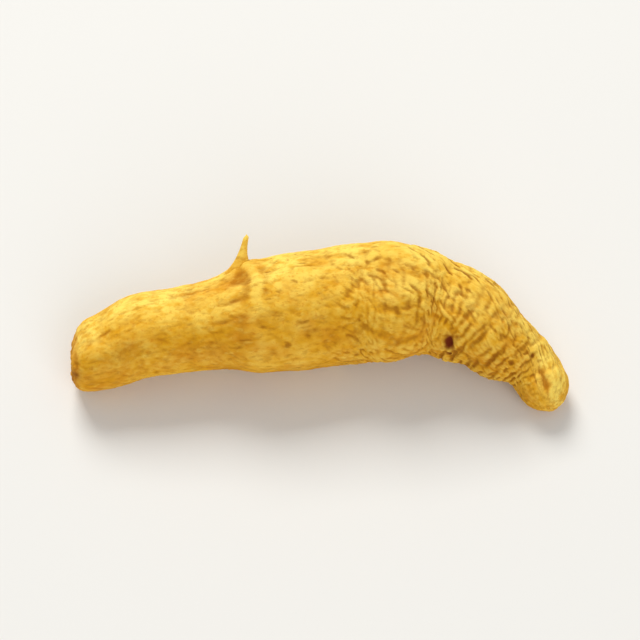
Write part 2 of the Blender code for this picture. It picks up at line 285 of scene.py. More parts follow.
slender = half / THICKEST
lumps = LUMP_HEIGHT * lattice_noise(on_cylinder(LUMP_SIZE, LUMP_SIZE), NOISE_SEED)
flanks = FLANK_HEIGHT * lattice_noise(on_cylinder(FLANK_LENGTH, FLANK_WIDTH), NOISE_SEED + 1)
fold_noise = lattice_noise(on_cylinder(FOLD_LENGTH, FOLD_SPACING), NOISE_SEED + 2)
past_shoulder = fade(along, SHOULDER_START, SHOULDER_END)
fold_share = SMOOTH_FOLD_SHARE + (1 - SMOOTH_FOLD_SHARE) * past_shoulder
folds = -FOLD_DEPTH * fold_share * bell(fold_noise, FOLD_SHARPNESS)
soft_relief = slender * (lumps + flanks) + slender ** 2 * folds
print("soft relief in mm:", soft_relief.min().round(2), "to", soft_relief.max().round(2))


# %% One hollow and one swelling
# Beside the broken end the upper edge draws in a little, and the inside of the hook is fuller.
HOLLOW_AND_SWELLING = [  # distance along, angle, half length, half width, height
    (3.6, 40, 2.0, 2.4, -0.28),
    (36.9, 200, 1.4, 2.2, 0.38),
]


def aside(centre_angle):
    """Distance round the unbent finger from an angle."""
    return np.radians(angle_off(centre_angle)) * NOISE_RADIUS


for place, spot_angle, half_length, half_width, height_there in HOLLOW_AND_SWELLING:
    spot = bell(np.hypot((along - place) / half_length, aside(spot_angle) / half_width), 1.0)
    soft_relief += height_there * spot
print("soft relief with both in mm:", soft_relief.min().round(2), "to", soft_relief.max().round(2))

# %% Leaf-scar rings
SWOLLEN_NODE = 15.0
RING_SLANT = 0.3
RING_WAVER, RING_WAVER_LENGTH, RING_WAVER_WIDTH = 0.35, 3.0, 1.5
RING_FAINTEST = 0.12
GROOVE_SETBACK = 0.6
RINGS = [  # distance along, groove depth, lip height, half width
    (6.5, 0.02, 0.015, 0.38),
    (10.8, 0.02, 0.015, 0.36),
    (25.0, 0.02, 0.02, 0.42),
    (30.8, 0.05, 0.04, 0.38),
    (35.0, 0.06, 0.05, 0.36),
    (38.2, 0.06, 0.05, 0.34),
    (40.5, 0.05, 0.04, 0.32),
]
RING_MIDDLE, RING_REACH = 84, 95
NODE_GROOVE_DEPTH, NODE_GROOVE_MIDDLE, NODE_GROOVE_REACH = 0.21, 64, 25
NODE_LIP_HEIGHT, NODE_LIP_MIDDLE, NODE_LIP_REACH, NODE_HALF_WIDTH = 0.20, 76, 34, 0.46
NODE_WAVER, NODE_WAVER_LENGTH, NODE_WAVER_WIDTH = 0.55, 2.0, 1.1


def rings():
    """For each ring, a groove bell and, a little nearer the tip, a lip bell, both fading away
    from the upper side. The ring wavers a little along the finger. The swollen node has a ring
    of its own, whose groove is shorter than its lip."""
    height = np.zeros_like(along)
    wavering = lattice_noise(on_cylinder(RING_WAVER_LENGTH, RING_WAVER_WIDTH), NOISE_SEED + 5)
    waver = RING_SLANT * np.cos(angle) + RING_WAVER * wavering
    ring_round = RING_FAINTEST + (1 - RING_FAINTEST) * bell(angle_off(RING_MIDDLE), RING_REACH)
    for place, groove, lip, half_width in RINGS:
        past = along - place - waver
        lip_shape = bell(past - half_width, half_width)
        groove_shape = bell(past + GROOVE_SETBACK * half_width, half_width)
        height += (lip * lip_shape - groove * groove_shape) * ring_round
    node_wavering = lattice_noise(on_cylinder(NODE_WAVER_LENGTH, NODE_WAVER_WIDTH), NOISE_SEED + 8)
    past = along - SWOLLEN_NODE - waver - NODE_WAVER * node_wavering
    lip_round = RING_FAINTEST + (1 - RING_FAINTEST) * bell(angle_off(NODE_LIP_MIDDLE), NODE_LIP_REACH)
    groove_round = bell(angle_off(NODE_GROOVE_MIDDLE), NODE_GROOVE_REACH)
    groove_shape = bell(past + GROOVE_SETBACK * NODE_HALF_WIDTH, NODE_HALF_WIDTH)
    height += NODE_LIP_HEIGHT * lip_round * bell(past - NODE_HALF_WIDTH, NODE_HALF_WIDTH)
    height -= NODE_GROOVE_DEPTH * groove_round * groove_shape
    return height


# %% Root pits
PIT_RIM, PIT_RIM_PLACE, PIT_RIM_WIDTH = 0.14, 1.7, 0.5
PIT_LENGTH = 0.58
PIT_UNEVENNESS, PIT_UNEVEN_SIZE = 0.7, 0.62
ROOT_PITS = [  # distance along, angle, radius, depth
    (0.6, 151, 0.45, 0.05),
    (32.8, 160, 0.62, 0.32),
    (29.9, 33, 0.36, 0.20),
    (38.6, 100, 0.26, 0.12),
    (37.6, 140, 0.24, 0.10),
    (9.0, 318, 0.44, 0.24),
    (20.2, 338, 0.54, 0.32),
    (22.6, 228, 0.48, 0.28),
    (12.2, 222, 0.42, 0.22),
    (35.5, 345, 0.38, 0.22),
]


def from_pit(place, pit_angle):
    """Distance from the middle of a pit, which is an oval, shorter along the finger than round
    it. Noise makes its edge uneven."""
    unevenness = lattice_noise(on_cylinder(PIT_UNEVEN_SIZE, PIT_UNEVEN_SIZE), NOISE_SEED + 6)
    uneven = 1 + PIT_UNEVENNESS * unevenness
    return np.hypot((along - place) / PIT_LENGTH, aside(pit_angle)) * uneven


def root_pits():
    """Each pit is a bell downwards inside a low rim."""
    height = np.zeros_like(along)
    for place, pit_angle, radius, depth in ROOT_PITS:
        away = from_pit(place, pit_angle)
        height -= depth * bell(away, radius)
        height += PIT_RIM * depth * bell(away - PIT_RIM_PLACE * radius, PIT_RIM_WIDTH * radius)
    return height


# %% Cracks across the bend
CRACK_HALF_WIDTH, CRACK_CLIMB = 0.17, 0.007
CRACK_WAVER, CRACK_WAVER_LENGTH, CRACK_WAVER_WIDTH = 0.16, 1.2, 0.9
CRACKS = [  # distance along, angle, half length in degrees, depth
    (32.5, 196, 24, 0.14),
    (33.0, 112, 18, 0.11),
    (33.7, 176, 24, 0.18),
    (34.5, 132, 20, 0.14),
    (35.0, 196, 22, 0.16),
    (36.2, 140, 26, 0.17),
    (37.0, 186, 22, 0.15),
    (37.5, 104, 20, 0.12),
    (38.5, 164, 22, 0.14),
    (33.9, 330, 30, 0.15),
    (36.6, 300, 26, 0.15),
]


def cracks():
    """Each crack is a bell across its width times a bell along its length. It wavers with noise."""
    height = np.zeros_like(along)
    waver = CRACK_WAVER * lattice_noise(on_cylinder(CRACK_WAVER_LENGTH, CRACK_WAVER_WIDTH), NOISE_SEED + 7)
    for place, crack_angle, half_length, depth in CRACKS:
        off = angle_off(crack_angle)
        off_line = along - place + CRACK_CLIMB * off + waver
        height -= depth * bell(off_line, CRACK_HALF_WIDTH) * bell(off, half_length)
    return height


# %% The groove over the bud tip
TIP_GROOVE_AT, TIP_GROOVE_ANGLE = 41.2, 98
TIP_GROOVE_HALF_LENGTH, TIP_GROOVE_HALF_WIDTH, TIP_GROOVE_DEPTH = 1.4, 0.28, 0.30
TIP_RIDGE_HEIGHT, TIP_RIDGE_ASIDE = 0.12, 0.56

groove_lengthwise = bell(along - TIP_GROOVE_AT, TIP_GROOVE_HALF_LENGTH)
from_groove = np.radians(angle_off(TIP_GROOVE_ANGLE)) * half
groove_sideways = bell(from_groove, TIP_GROOVE_HALF_WIDTH)
tip_ridges = groove_lengthwise * bell(np.abs(from_groove) - TIP_RIDGE_ASIDE, TIP_GROOVE_HALF_WIDTH)
tip_groove = TIP_RIDGE_HEIGHT * tip_ridges - TIP_GROOVE_DEPTH * groove_lengthwise * groove_sideways

# %% The swelling under the thorn
THORN_AT, THORN_ANGLE = 14.95, 38
THORN_FOOT_HEIGHT, THORN_FOOT_LENGTH, THORN_FOOT_WIDTH = 0.32, 1.7, 1.1

from_thorn = np.hypot((along - THORN_AT) / THORN_FOOT_LENGTH, aside(THORN_ANGLE) / THORN_FOOT_WIDTH)
thorn_foot = THORN_FOOT_HEIGHT * bell(from_thorn, 1.0)
main_relief = soft_relief + rings() + root_pits() + cracks() + tip_groove + thorn_foot
print("main relief in mm:", main_relief.min().round(2), "to", main_relief.max().round(2))

# %% [markdown]
# ## The main form
#
# The heights go on the radius. Where the finger would dip below the ground it is pressed flat,
# as it is worn where it lies. The broken end is cut on a slant and dished in the middle.

# %% Points of the main form
BROKEN_END_SLANT, BROKEN_END_CUT_SIDE, BROKEN_END_SLANT_REACH = 0.34, 30, 3.5
BROKEN_END_DISH, BROKEN_END_DISH_SHARE = 0.3, 0.45
BROKEN_END_DEPTH = 3.0

at_broken_end = along < BROKEN_END_DEPTH
radius = (half + main_relief) * closing
outward = np.cos(angle)[..., None] * across[:, None] + np.sin(angle)[..., None] * up[:, None]
forward = np.cross(across, up)
points = centre[:, None] + radius[..., None] * outward
near_broken_end = 1 - fade(along, 0.0, BROKEN_END_SLANT_REACH)
cut_side = np.cos(np.radians(angle_off(BROKEN_END_CUT_SIDE)))
cut_back = BROKEN_END_SLANT * radius * cut_side * near_broken_end
dish = BROKEN_END_DISH * bell(closing, BROKEN_END_DISH_SHARE) * at_broken_end
points += (cut_back + dish)[..., None] * forward[:, None]
end_points = axis_frames(np.array([0.0, axis_length]))[0]
end_points[0] += BROKEN_END_DISH * forward[0]
print("main form in mm:", points.min(axis=(0, 1)).round(2), "to", points.max(axis=(0, 1)).round(2))

# %% [markdown]
# ## The fine relief
#
# As the finger dries its skin shrinks over a hard core and puckers. On the fat, smooth half this
# shows only as faint lines along the finger. Past the shoulder it becomes a net of small
# cushions, and across the bend the cushions are squeezed into short ridges round the finger. A
# bump map could fake this, but real valleys shade each other and hold in the outline, so it goes
# into the surface.

# %% Where the wrinkles are
NET_START, NET_END, NET_LEAN, NET_LEAN_SIDE = 18.5, 28.5, 1.6, 215
SMOOTH_SHARE = 0.15
PATCH_LENGTH, PATCH_WIDTH = 3.6, 3.2
PATCH_MIDDLE, PATCH_SWING, PATCH_LEAST, PATCH_MOST = 0.85, 0.5, 0.4, 1.2
TIP_SMOOTHNESS, TIP_FADE = 0.5, 2.0
CALM_AT, CALM_ANGLE, CALM_LENGTH, CALM_REACH, CALM_STRENGTH = 26.0, 158, 4.0, 42, 0.45
BEND_START, BEND_END, BEND_FRONT, BEND_FRONT_REACH, BEND_BACK_SHARE = 30.5, 34.0, 160, 75, 0.3
ARCS_START, ARCS_END, ARCS_MIDDLE, ARCS_REACH, ARCS_SHARE = 22.5, 25.5, 128, 44, 0.7

leaning = along + NET_LEAN * np.cos(np.radians(angle_off(NET_LEAN_SIDE)))
patch_noise = lattice_noise(on_skin(PATCH_LENGTH, PATCH_WIDTH), NOISE_SEED + 9)
patches = np.clip(PATCH_MIDDLE + PATCH_SWING * patch_noise, PATCH_LEAST, PATCH_MOST)
past_net_start = fade(leaning, NET_START, NET_END)
wrinkled = (SMOOTH_SHARE + (1 - SMOOTH_SHARE) * past_net_start) * patches
wrinkled *= 1 - TIP_SMOOTHNESS * fade(along, TIP_GROOVE_AT - TIP_FADE, TIP_GROOVE_AT)
wrinkled *= 1 - CALM_STRENGTH * bell(along - CALM_AT, CALM_LENGTH) * bell(angle_off(CALM_ANGLE), CALM_REACH)
bend = fade(along, BEND_START, BEND_END)
front = bell(angle_off(BEND_FRONT), BEND_FRONT_REACH)
arcs = fade(along, ARCS_START, ARCS_END) * bell(angle_off(ARCS_MIDDLE), ARCS_REACH)
squeezed = np.maximum(bend * (BEND_BACK_SHARE + (1 - BEND_BACK_SHARE) * front), ARCS_SHARE * arcs)
print("share of skin that is well wrinkled:", (wrinkled > 0.5).mean().round(3))


# %% Dashes on a slant, and ripples
def slanting(length, width, climb):
    """The skin twisted about its axis, so that a drawn-out pattern follows a helix. The climb is
    the distance round the finger for each step along it."""
    twisted = angle - climb * along / NOISE_RADIUS
    reach = NOISE_RADIUS / width * closing
    return np.stack([along / length, reach * np.cos(twisted), reach * np.sin(twisted)], axis=-1)


# The least steepness keeps a line from spreading where the noise is nearly level. A second noise
# breaks the lines up: its fade gives the heights at which a line is gone and at which it is whole.
ROUND_STEP = 2 * math.pi * NOISE_RADIUS / COLUMNS
RIPPLE_WANDER, RIPPLE_WANDER_SIZE, RIPPLE_LEAST_STEEPNESS = 0.38, (1.8, 1.2), 0.6
RIPPLE_PIECE_SIZE, RIPPLE_PIECE_FADE = (0.70, 1.0), (-0.20, 0.15)
LINE_LEAST_STEEPNESS = 0.9
PIECE_SCALE, PIECE_SHIFT, PIECE_FADE = 1.6, 7.3, (-0.06, 0.34)


def steepness(values):
    """How much values change over one millimetre of skin, in the direction of fastest change."""
    change_along = np.gradient(values, row_along, axis=0)
    change_round = (np.roll(values, -1, axis=1) - np.roll(values, 1, axis=1)) / (2 * ROUND_STEP)
    return np.hypot(change_along, change_round)


def ripples(spacing, half_width, bow, seed):
    """Grooves round the finger at an even spacing, bowed, wandering and broken up by noise. With
    the place counted in spacings, a groove lies at each whole number, and the difference to it
    over the steepness is the distance from the groove."""
    wander = RIPPLE_WANDER * lattice_noise(on_skin(*RIPPLE_WANDER_SIZE), seed)
    place = (along + bow) / spacing + wander
    steep = np.maximum(steepness(place), RIPPLE_LEAST_STEEPNESS / spacing)
    lasting = fade(lattice_noise(on_skin(*RIPPLE_PIECE_SIZE), seed + 1), *RIPPLE_PIECE_FADE)
    return bell((place - np.round(place)) / steep, half_width) * lasting


def line_pieces(point, half_width, seed):
    """Lines where a noise crosses zero, broken into pieces by a second noise. A value over its
    steepness is about the distance to the crossing, so the lines keep one width."""
    drawn = lattice_noise(point, seed)
    unbroken = bell(drawn / np.maximum(steepness(drawn), LINE_LEAST_STEEPNESS), half_width)
    return unbroken * fade(lattice_noise(PIECE_SCALE * point + PIECE_SHIFT, seed + 1), *PIECE_FADE)


# %% Wrinkle net
CUSHION_LENGTH, CUSHION_WIDTH, CUSHION_SHARPNESS, CUSHION_DEPTH = 1.05, 0.8, 0.24, 0.07
NET_LENGTH, NET_WIDTH, NET_SHARPNESS, NET_DEPTH = 0.6, 0.5, 0.5, 0.04
RIPPLE_SPACING, RIPPLE_HALF_WIDTH, RIPPLE_DEPTH = 0.74, 0.15, 0.12
DASH_LENGTH, DASH_SPACING, DASH_CLIMB, DASH_HALF_WIDTH, DASH_DEPTH = 1.3, 0.65, 0.55, 0.16, 0.12
ARC_BOW, ARC_BOW_REACH, HOOK_BOW, HOOK_BOW_SIDE = 1.0, 50, 0.4, 150
CUSHIONS_LOST, DASHES_LOST = 0.75, 0.6

arc_bow = -ARC_BOW * bell(angle_off(ARCS_MIDDLE), ARC_BOW_REACH)
hook_bow = HOOK_BOW * np.sin(np.radians(angle_off(HOOK_BOW_SIDE)))
bow = arc_bow * (1 - bend) + hook_bow * bend
cushion_skin = wandering(on_skin(CUSHION_LENGTH, CUSHION_WIDTH), NOISE_SEED + 40)
cushions = bell(cell_walls(cushion_skin, NOISE_SEED + 10), CUSHION_SHARPNESS)
net_skin = wandering(on_skin(NET_LENGTH, NET_WIDTH), NOISE_SEED + 44)
net = 1 - fade(cell_walls(net_skin, NOISE_SEED + 11), 0.0, NET_SHARPNESS)
ripple = ripples(RIPPLE_SPACING, RIPPLE_HALF_WIDTH, bow, NOISE_SEED + 48)
dashes = line_pieces(slanting(DASH_LENGTH, DASH_SPACING, DASH_CLIMB), DASH_HALF_WIDTH, NOISE_SEED + 13)
dash_share = 1 - DASHES_LOST * squeezed
wrinkles = CUSHION_DEPTH * (1 - CUSHIONS_LOST * squeezed) * cushions + NET_DEPTH * net
wrinkles += RIPPLE_DEPTH * squeezed * ripple + DASH_DEPTH * dash_share * dashes
wrinkles *= -wrinkled * (1 + slender) / 2
print("wrinkles reach", wrinkles.min().round(3), "mm; mean depth past the shoulder",
      wrinkles[row_along > 27].mean().round(3))

# %% Lines, lumps and grain of the smooth half
FURROW_LENGTH, FURROW_SPACING, FURROW_SHARPNESS, FURROW_DEPTH = 2.6, 0.8, 0.16, 0.012
SMALL_LUMP_LENGTH, SMALL_LUMP_WIDTH, SMALL_LUMP_HEIGHT = 1.9, 1.4, 0.07
GRAIN_LENGTH, GRAIN_WIDTH, GRAIN_HEIGHT = 0.55, 0.40, 0.03
SHORT_DASH_LENGTH, SHORT_DASH_WIDTH, SHORT_DASH_DEPTH = 0.80, 0.30, 0.05
SHORT_DASH_AT, SHORT_DASH_REACH, SHORT_DASH_LEAST, SHORT_DASH_FADE = 18.5, 6.0, 0.3, (0.40, 0.75)

furrow_noise = lattice_noise(on_skin(FURROW_LENGTH, FURROW_SPACING), NOISE_SEED + 20)
furrows = -FURROW_DEPTH * bell(furrow_noise, FURROW_SHARPNESS)
lump_noise = lattice_noise(on_skin(SMALL_LUMP_LENGTH, SMALL_LUMP_WIDTH), NOISE_SEED + 21)
small_lumps = SMALL_LUMP_HEIGHT * lump_noise
grain = GRAIN_HEIGHT * lattice_noise(on_skin(GRAIN_LENGTH, GRAIN_WIDTH), NOISE_SEED + 22)
dash_skin = wandering(on_skin(SHORT_DASH_LENGTH, SHORT_DASH_WIDTH), NOISE_SEED + 60)
short_dashes = fade(lattice_noise(dash_skin, NOISE_SEED + 25), *SHORT_DASH_FADE)
short_dashes *= SHORT_DASH_LEAST + (1 - SHORT_DASH_LEAST) * bell(along - SHORT_DASH_AT, SHORT_DASH_REACH)
short_dashes *= 1 - past_net_start
print("share of skin in short dashes:", (short_dashes > 0.4).mean().round(3))

# %% Crescents and single creases
CRESCENTS = [  # distance along, angle, radius, depth: a small fold over a bump
    (19.5, 80, 0.80, 0.07),
    (17.5, 89, 0.45, 0.05),
    (8.4, 118, 0.60, 0.03),
    (23.2, 150, 0.70, 0.05),
    (11.8, 285, 0.80, 0.06),
]
CREASES = [  # distance along, angle, half length, depth: a single line along the finger
    (14.2, 97, 1.6, 0.06),
    (13.9, 117, 1.6, 0.06),
    (3.6, 95, 0.8, 0.08),
    (5.4, 78, 2.0, 0.03),
    (9.6, 139, 2.0, 0.03),
    (20.6, 121, 2.2, 0.03),
    (17.8, 172, 2.6, 0.04),
    (6.0, 196, 2.2, 0.04),
    (41.0, 118, 1.2, 0.08),
    (13.0, 260, 3.0, 0.05),
    (18.0, 350, 3.0, 0.05),
]
CRESCENT_STRETCH, CRESCENT_BUMP, CRESCENT_LINE, CRESCENT_SIDE_FADE = 1.3, 0.6, 0.15, (-0.1, 0.7)
CRESCENT_BEND, CRESCENT_BEND_SIZE = 0.5, (0.9, 0.9)
CREASE_WAVER, CREASE_WAVER_SIZE, CREASE_HALF_WIDTH = 0.35, (1.6, 1.6), 0.15


def crescents():
    """Each is a valley on part of a circle, on the circle's upper side, round a low bump. Noise
    bends the circle."""
    height = np.zeros_like(along)
    bent = CRESCENT_BEND * lattice_noise(on_skin(*CRESCENT_BEND_SIZE), NOISE_SEED + 24)
    for place, spot_angle, size, depth in CRESCENTS:
        away = np.hypot((along - place) / CRESCENT_STRETCH, aside(spot_angle)) + bent * size
        upper_side = fade(-aside(spot_angle) / size, *CRESCENT_SIDE_FADE)
        height += CRESCENT_BUMP * depth * bell(away, CRESCENT_BUMP * size)
        height -= depth * upper_side * bell(away - size, CRESCENT_LINE)
    return height


def creases():
    """Each is a bell along the finger times a narrow bell round it, wavering with noise."""
    height = np.zeros_like(along)
    waver = CREASE_WAVER * lattice_noise(on_skin(*CREASE_WAVER_SIZE), NOISE_SEED + 23)
    for place, line_angle, half_length, depth in CREASES:
        line_shape = bell(aside(line_angle) + waver, CREASE_HALF_WIDTH)
        height -= depth * bell(along - place, half_length) * line_shape
    return height


# %% The broken end
# Shares are of the way from the middle of the end to its edge.
FACE_SHARE, FACE_EDGE_SHARE = 0.74, 0.93
TORN_COARSE, TORN_COARSE_SIZE = 0.10, (1.0, 0.95)
TORN_FINE, TORN_FINE_SIZE = 0.05, (0.5, 0.42)
RIM_HEIGHT, RIM_SHARE, RIM_WIDTH = 0.04, 0.88, 0.07

broken_face = (1 - fade(closing, FACE_SHARE, FACE_EDGE_SHARE)) * at_broken_end
torn = TORN_COARSE * lattice_noise(on_skin(*TORN_COARSE_SIZE), NOISE_SEED + 30)
torn += TORN_FINE * lattice_noise(on_skin(*TORN_FINE_SIZE), NOISE_SEED + 31)
rim = RIM_HEIGHT * bell(closing - RIM_SHARE, RIM_WIDTH) * at_broken_end
on_rind = wrinkles + furrows + creases() - SHORT_DASH_DEPTH * short_dashes
fine_relief = on_rind * (1 - broken_face) + crescents() + small_lumps + grain
fine_relief += broken_face * torn + rim
print("fine relief in mm:", fine_relief.min().round(2), "to", fine_relief.max().round(2))


# %% Raise the fine relief
def outward_normals(grid):
    """Outward direction at each grid point: the step to the next column crossed with the step to
    the next row."""
    round_step = np.roll(grid, -1, axis=1) - np.roll(grid, 1, axis=1)
    return unit(np.cross(round_step, np.gradient(grid, axis=0)))


# Near the ground the skin is worn, so the fine relief fades away between these heights in mm.
WORN_FADE = (-0.05, 0.35)

above_ground = fade(points[..., 2], *WORN_FADE)
points += (fine_relief * above_ground)[..., None] * outward_normals(points)
points[..., 2] = np.maximum(points[..., 2], 0.0)
print("share of points on the ground:", (points[..., 2] <= 0).mean().round(3))


# %% [markdown]
# ## What the colour will need
#
# Valleys are painted darker as shade, and ridges paler as highlight. The shader can't see a
# point's neighbours, so here the grid is compared with a blurred copy of itself, and the
# difference is stored on the points. Stains, painted shade, painted highlights and scars are
# placed the same way as the relief.

# %% Valleys and ridges
# Rows and columns of the two blurs, and the depths and heights in mm that count in full.
CLOSE_BLUR, FAR_BLUR = (3, 3), (10, 8)
CLOSE_VALLEY, FAR_VALLEY = 0.055, 0.2
CLOSE_RIDGE, FAR_RIDGE = 0.040, 0.12


def moving_mean(values, reach):
    """Mean over a window of rows, from differences of the running sum. The edge rows repeat."""
    padded = np.pad(values, ((reach, reach), (0, 0)), mode="edge")
    sums = np.cumsum(np.vstack([np.zeros((1, values.shape[1])), padded]), axis=0)
    return (sums[2 * reach + 1:] - sums[:-2 * reach - 1]) / (2 * reach + 1)


def blurred(values, rows, columns):
    """Mean over rows, then over columns, which wrap round, both taken twice."""
    for _ in range(2):
        values = moving_mean(values, rows)
        wrapped = np.hstack([values[:, -columns:], values, values[:, :columns]])
        values = moving_mean(wrapped.T, columns).T[:, columns:-columns]
    return values


relief = main_relief + fine_relief
close_by = blurred(relief, *CLOSE_BLUR) - relief
far_off = blurred(relief, *FAR_BLUR) - relief
# The valley share later darkens the colour with ochre: painted shade in hollows.
valley = 0.7 * np.clip(close_by / CLOSE_VALLEY, 0, 1) + 0.2 * np.clip(far_off / FAR_VALLEY, 0, 1)
# The ridge share later pales the colour: painted highlight on raised skin.
ridge = 0.6 * np.clip(-close_by / CLOSE_RIDGE, 0, 1) + 0.4 * np.clip(-far_off / FAR_RIDGE, 0, 1)
print("share of skin in valleys:", (valley > 0.4).mean().round(3))
print("share of skin on ridges:", (ridge > 0.4).mean().round(3))

# %% Dark lines
SHORT_DASH_DARKNESS, DARK_CRACK_DEPTH = 0.6, 0.2

lines = wrinkled * np.maximum(squeezed * ripple, dash_share * dashes)
lines = np.maximum(lines, SHORT_DASH_DARKNESS * short_dashes)
lines = np.maximum(lines, np.clip(-cracks() / DARK_CRACK_DEPTH, 0, 1)) * (1 - broken_face)
print("share of skin in dark lines:", (lines > 0.4).mean().round(3))

# %% Stains, orange patches, dust, painted shade and painted highlights
STAINS_AND_SHADE = [  # distance along, angle, half length, half width, strength
    # This row, at the foot of the thorn, is painted shade.
    (14.4, 62, 0.55, 0.8, 0.22),
    (14.2, 97, 1.6, 0.16, 0.35),
    (13.9, 117, 1.5, 0.20, 0.35),
    (41.2, 98, 1.2, 0.24, 0.55),
    (35.4, 174, 0.6, 0.4, 0.60),
    (3.6, 95, 0.7, 0.16, 0.45),
    # This row, on the front near the broken end, is partly painted shade and partly duller rind.
    (4.6, 126, 3.0, 1.5, 0.28),
    (0.7, 150, 0.5, 0.7, 0.40),
    (35.6, 172, 2.6, 1.4, 0.15),
]
ORANGES = [  # distance along, angle, half length, half width, strength
    (11.5, 160, 3.2, 1.0, 0.60),
    # This row, at the foot of the thorn, is painted shade in orange.
    (14.2, 64, 1.0, 1.1, 0.50),
    (13.9, 117, 1.6, 0.45, 0.60),
    (14.5, 138, 1.0, 0.5, 0.30),
    (1.9, 186, 1.2, 0.8, 0.80),
    (27.0, 200, 3.0, 1.0, 0.60),
    (41.2, 98, 1.3, 0.55, 1.0),
    (36.0, 158, 2.4, 1.2, 0.45),
    (8.0, 300, 3.0, 1.4, 0.60),
    (24.0, 292, 4.0, 1.5, 0.60),
    (37.0, 330, 2.2, 1.0, 0.50),
]
# Pale patches on the upper side, where the key light falls: painted highlights.
PAINTED_HIGHLIGHTS = [  # distance along, angle, half length, half width, strength
    (6.7, 54, 3.0, 1.6, 0.95),
    (1.9, 80, 1.0, 0.8, 0.70),
    (18.5, 58, 3.0, 1.4, 0.50),
    (22.3, 42, 3.0, 1.6, 0.80),
    (28.0, 60, 2.5, 1.6, 0.35),
    (40.8, 62, 2.4, 1.2, 0.70),
]
SCARS = [0.5, 1.6, 0.4, 0.7, 0.55, 0.7, 0.9, 0.8, 0.6, 0.7]  # how red each root pit is, in their order
CORE_RING_SHARE, CORE_RING_WIDTH, CORE_RING_STRENGTH = 0.52, 0.06, 0.5
# The pale share grows towards the upper back side, where the key light falls: dust and painted highlight
# together.
DUSTY_LIT_SIDE, DUSTY_LIT_SIDE_FADE, DUST_LEAST_SHARE = 48, (0.1, 0.95), 0.2
DUST_LENGTH, DUST_WIDTH, DUST_MIDDLE, DUST_SWING = 3.2, 2.0, 0.65, 0.8


def patch_sum(patches_listed):
    """Bells along and round the finger, each with its strength, the strongest one counting."""
    total = np.zeros_like(along)
    for place, spot_angle, half_length, half_width, strength in patches_listed:
        away = np.hypot((along - place) / half_length, aside(spot_angle) / half_width)
        total = np.maximum(total, strength * bell(away, 1.0))
    return total


core_ring = CORE_RING_STRENGTH * bell(closing - CORE_RING_SHARE, CORE_RING_WIDTH) * at_broken_end
stain_and_shade = np.maximum(patch_sum(STAINS_AND_SHADE), core_ring)
orange = patch_sum(ORANGES)
scar = np.zeros_like(along)
for (place, pit_angle, pit_radius, _depth), strength in zip(ROOT_PITS, SCARS):
    redness = strength * bell(from_pit(place, pit_angle), pit_radius)
    scar = np.maximum(scar, np.clip(redness, 0, 1))
# More pale on the lit upper back side: painted highlight along with the dust.
on_dusty_lit_side = fade(np.cos(np.radians(angle_off(DUSTY_LIT_SIDE))), *DUSTY_LIT_SIDE_FADE)
dust_and_highlight_share = DUST_LEAST_SHARE + (1 - DUST_LEAST_SHARE) * on_dusty_lit_side
dust_noise = lattice_noise(on_skin(DUST_LENGTH, DUST_WIDTH), NOISE_SEED + 32)
dust_and_highlight = np.clip(dust_and_highlight_share * (DUST_MIDDLE + DUST_SWING * dust_noise) + patch_sum(PAINTED_HIGHLIGHTS), 0, 1)
ridge = np.maximum(ridge, tip_ridges)
body_marks = {"valley": valley, "ridge": ridge, "line": lines, "scar": scar, "dust_and_highlight": dust_and_highlight, "stain_and_shade": stain_and_shade,
              "orange": orange, "torn": broken_face}
print("mean of each mark:", {label: round(float(values.mean()), 3) for label, values in body_marks.items()})

# %% [markdown]
# ## The thorn
#
# Each leaf of the underground stem was a papery scale, and where one tore off, its base can dry
# to a thorn. It is a stack of flat rings that narrow and lean as they rise out of the node, with
# a foot that flares like a trumpet, sunk into the body so that the two can be joined as one skin.

# %% Thorn surface
THORN_HEIGHT, THORN_SUNK = 2.45, 1.1
THORN_BASE_WIDTH, THORN_BASE_THICKNESS = 3.9, 2.2
THORN_TIP_WIDTH, THORN_TIP_THICKNESS = 0.46, 0.40
THORN_BACKSET, THORN_LEAN, THORN_NARROWING, THORN_POINT = 0.6, 1.4, 2.5, 0.12
THORN_ROUND_FROM, THORN_ROUND_SPAN = 0.93, 0.075
THORN_RIBS, THORN_RIB_HEIGHT, THORN_RIB_TWIST = 5, 0.30, 4
THORN_COLOUR_FADE = (0.25, 0.8)
THORN_RINGS, THORN_SIDES = 44, 36


def straight_thorn(foot_half):
    """Rings at an even rise, on a straight finger that starts at the thorn. Width and thickness
    fall from base to tip with one minus the rise, raised to the narrowing; the last rings round
    off; ribs run up the sides."""
    turn = math.radians(THORN_ANGLE)
    ahead = np.array([1.0, 0.0, 0.0])
    outwards = np.array([0.0, math.cos(turn), math.sin(turn)])
    sideways = np.cross(outwards, ahead)
    rise = np.linspace(0.0, 1.0, THORN_RINGS)
    height = foot_half - THORN_SUNK + rise * (THORN_HEIGHT + THORN_SUNK)
    spread = (1 - rise) ** THORN_NARROWING
    rounding = np.sqrt(1 - (np.clip(rise - THORN_ROUND_FROM, 0, 1) / THORN_ROUND_SPAN) ** 2)
    width = (THORN_TIP_WIDTH + (THORN_BASE_WIDTH - THORN_TIP_WIDTH) * spread) * rounding
    thickness = (THORN_TIP_THICKNESS + (THORN_BASE_THICKNESS - THORN_TIP_THICKNESS) * spread) * rounding
    turns = np.linspace(0.0, 2 * math.pi, THORN_SIDES, endpoint=False)
    rib_wave = np.sin(THORN_RIBS * turns + THORN_RIB_TWIST * rise[:, None])
    ribs = 1 + THORN_RIB_HEIGHT * (rise * (1 - rise))[:, None] * rib_wave
    middle = height[:, None] * outwards + (THORN_LEAN * rise - THORN_BACKSET)[:, None] * ahead
    wide = (0.5 * width[:, None] * np.cos(turns) * ribs)[..., None] * ahead
    thick = (0.5 * thickness[:, None] * np.sin(turns) * ribs)[..., None] * sideways
    return middle[:, None] + wide + thick, np.array([middle[0], middle[-1] + THORN_POINT * outwards])


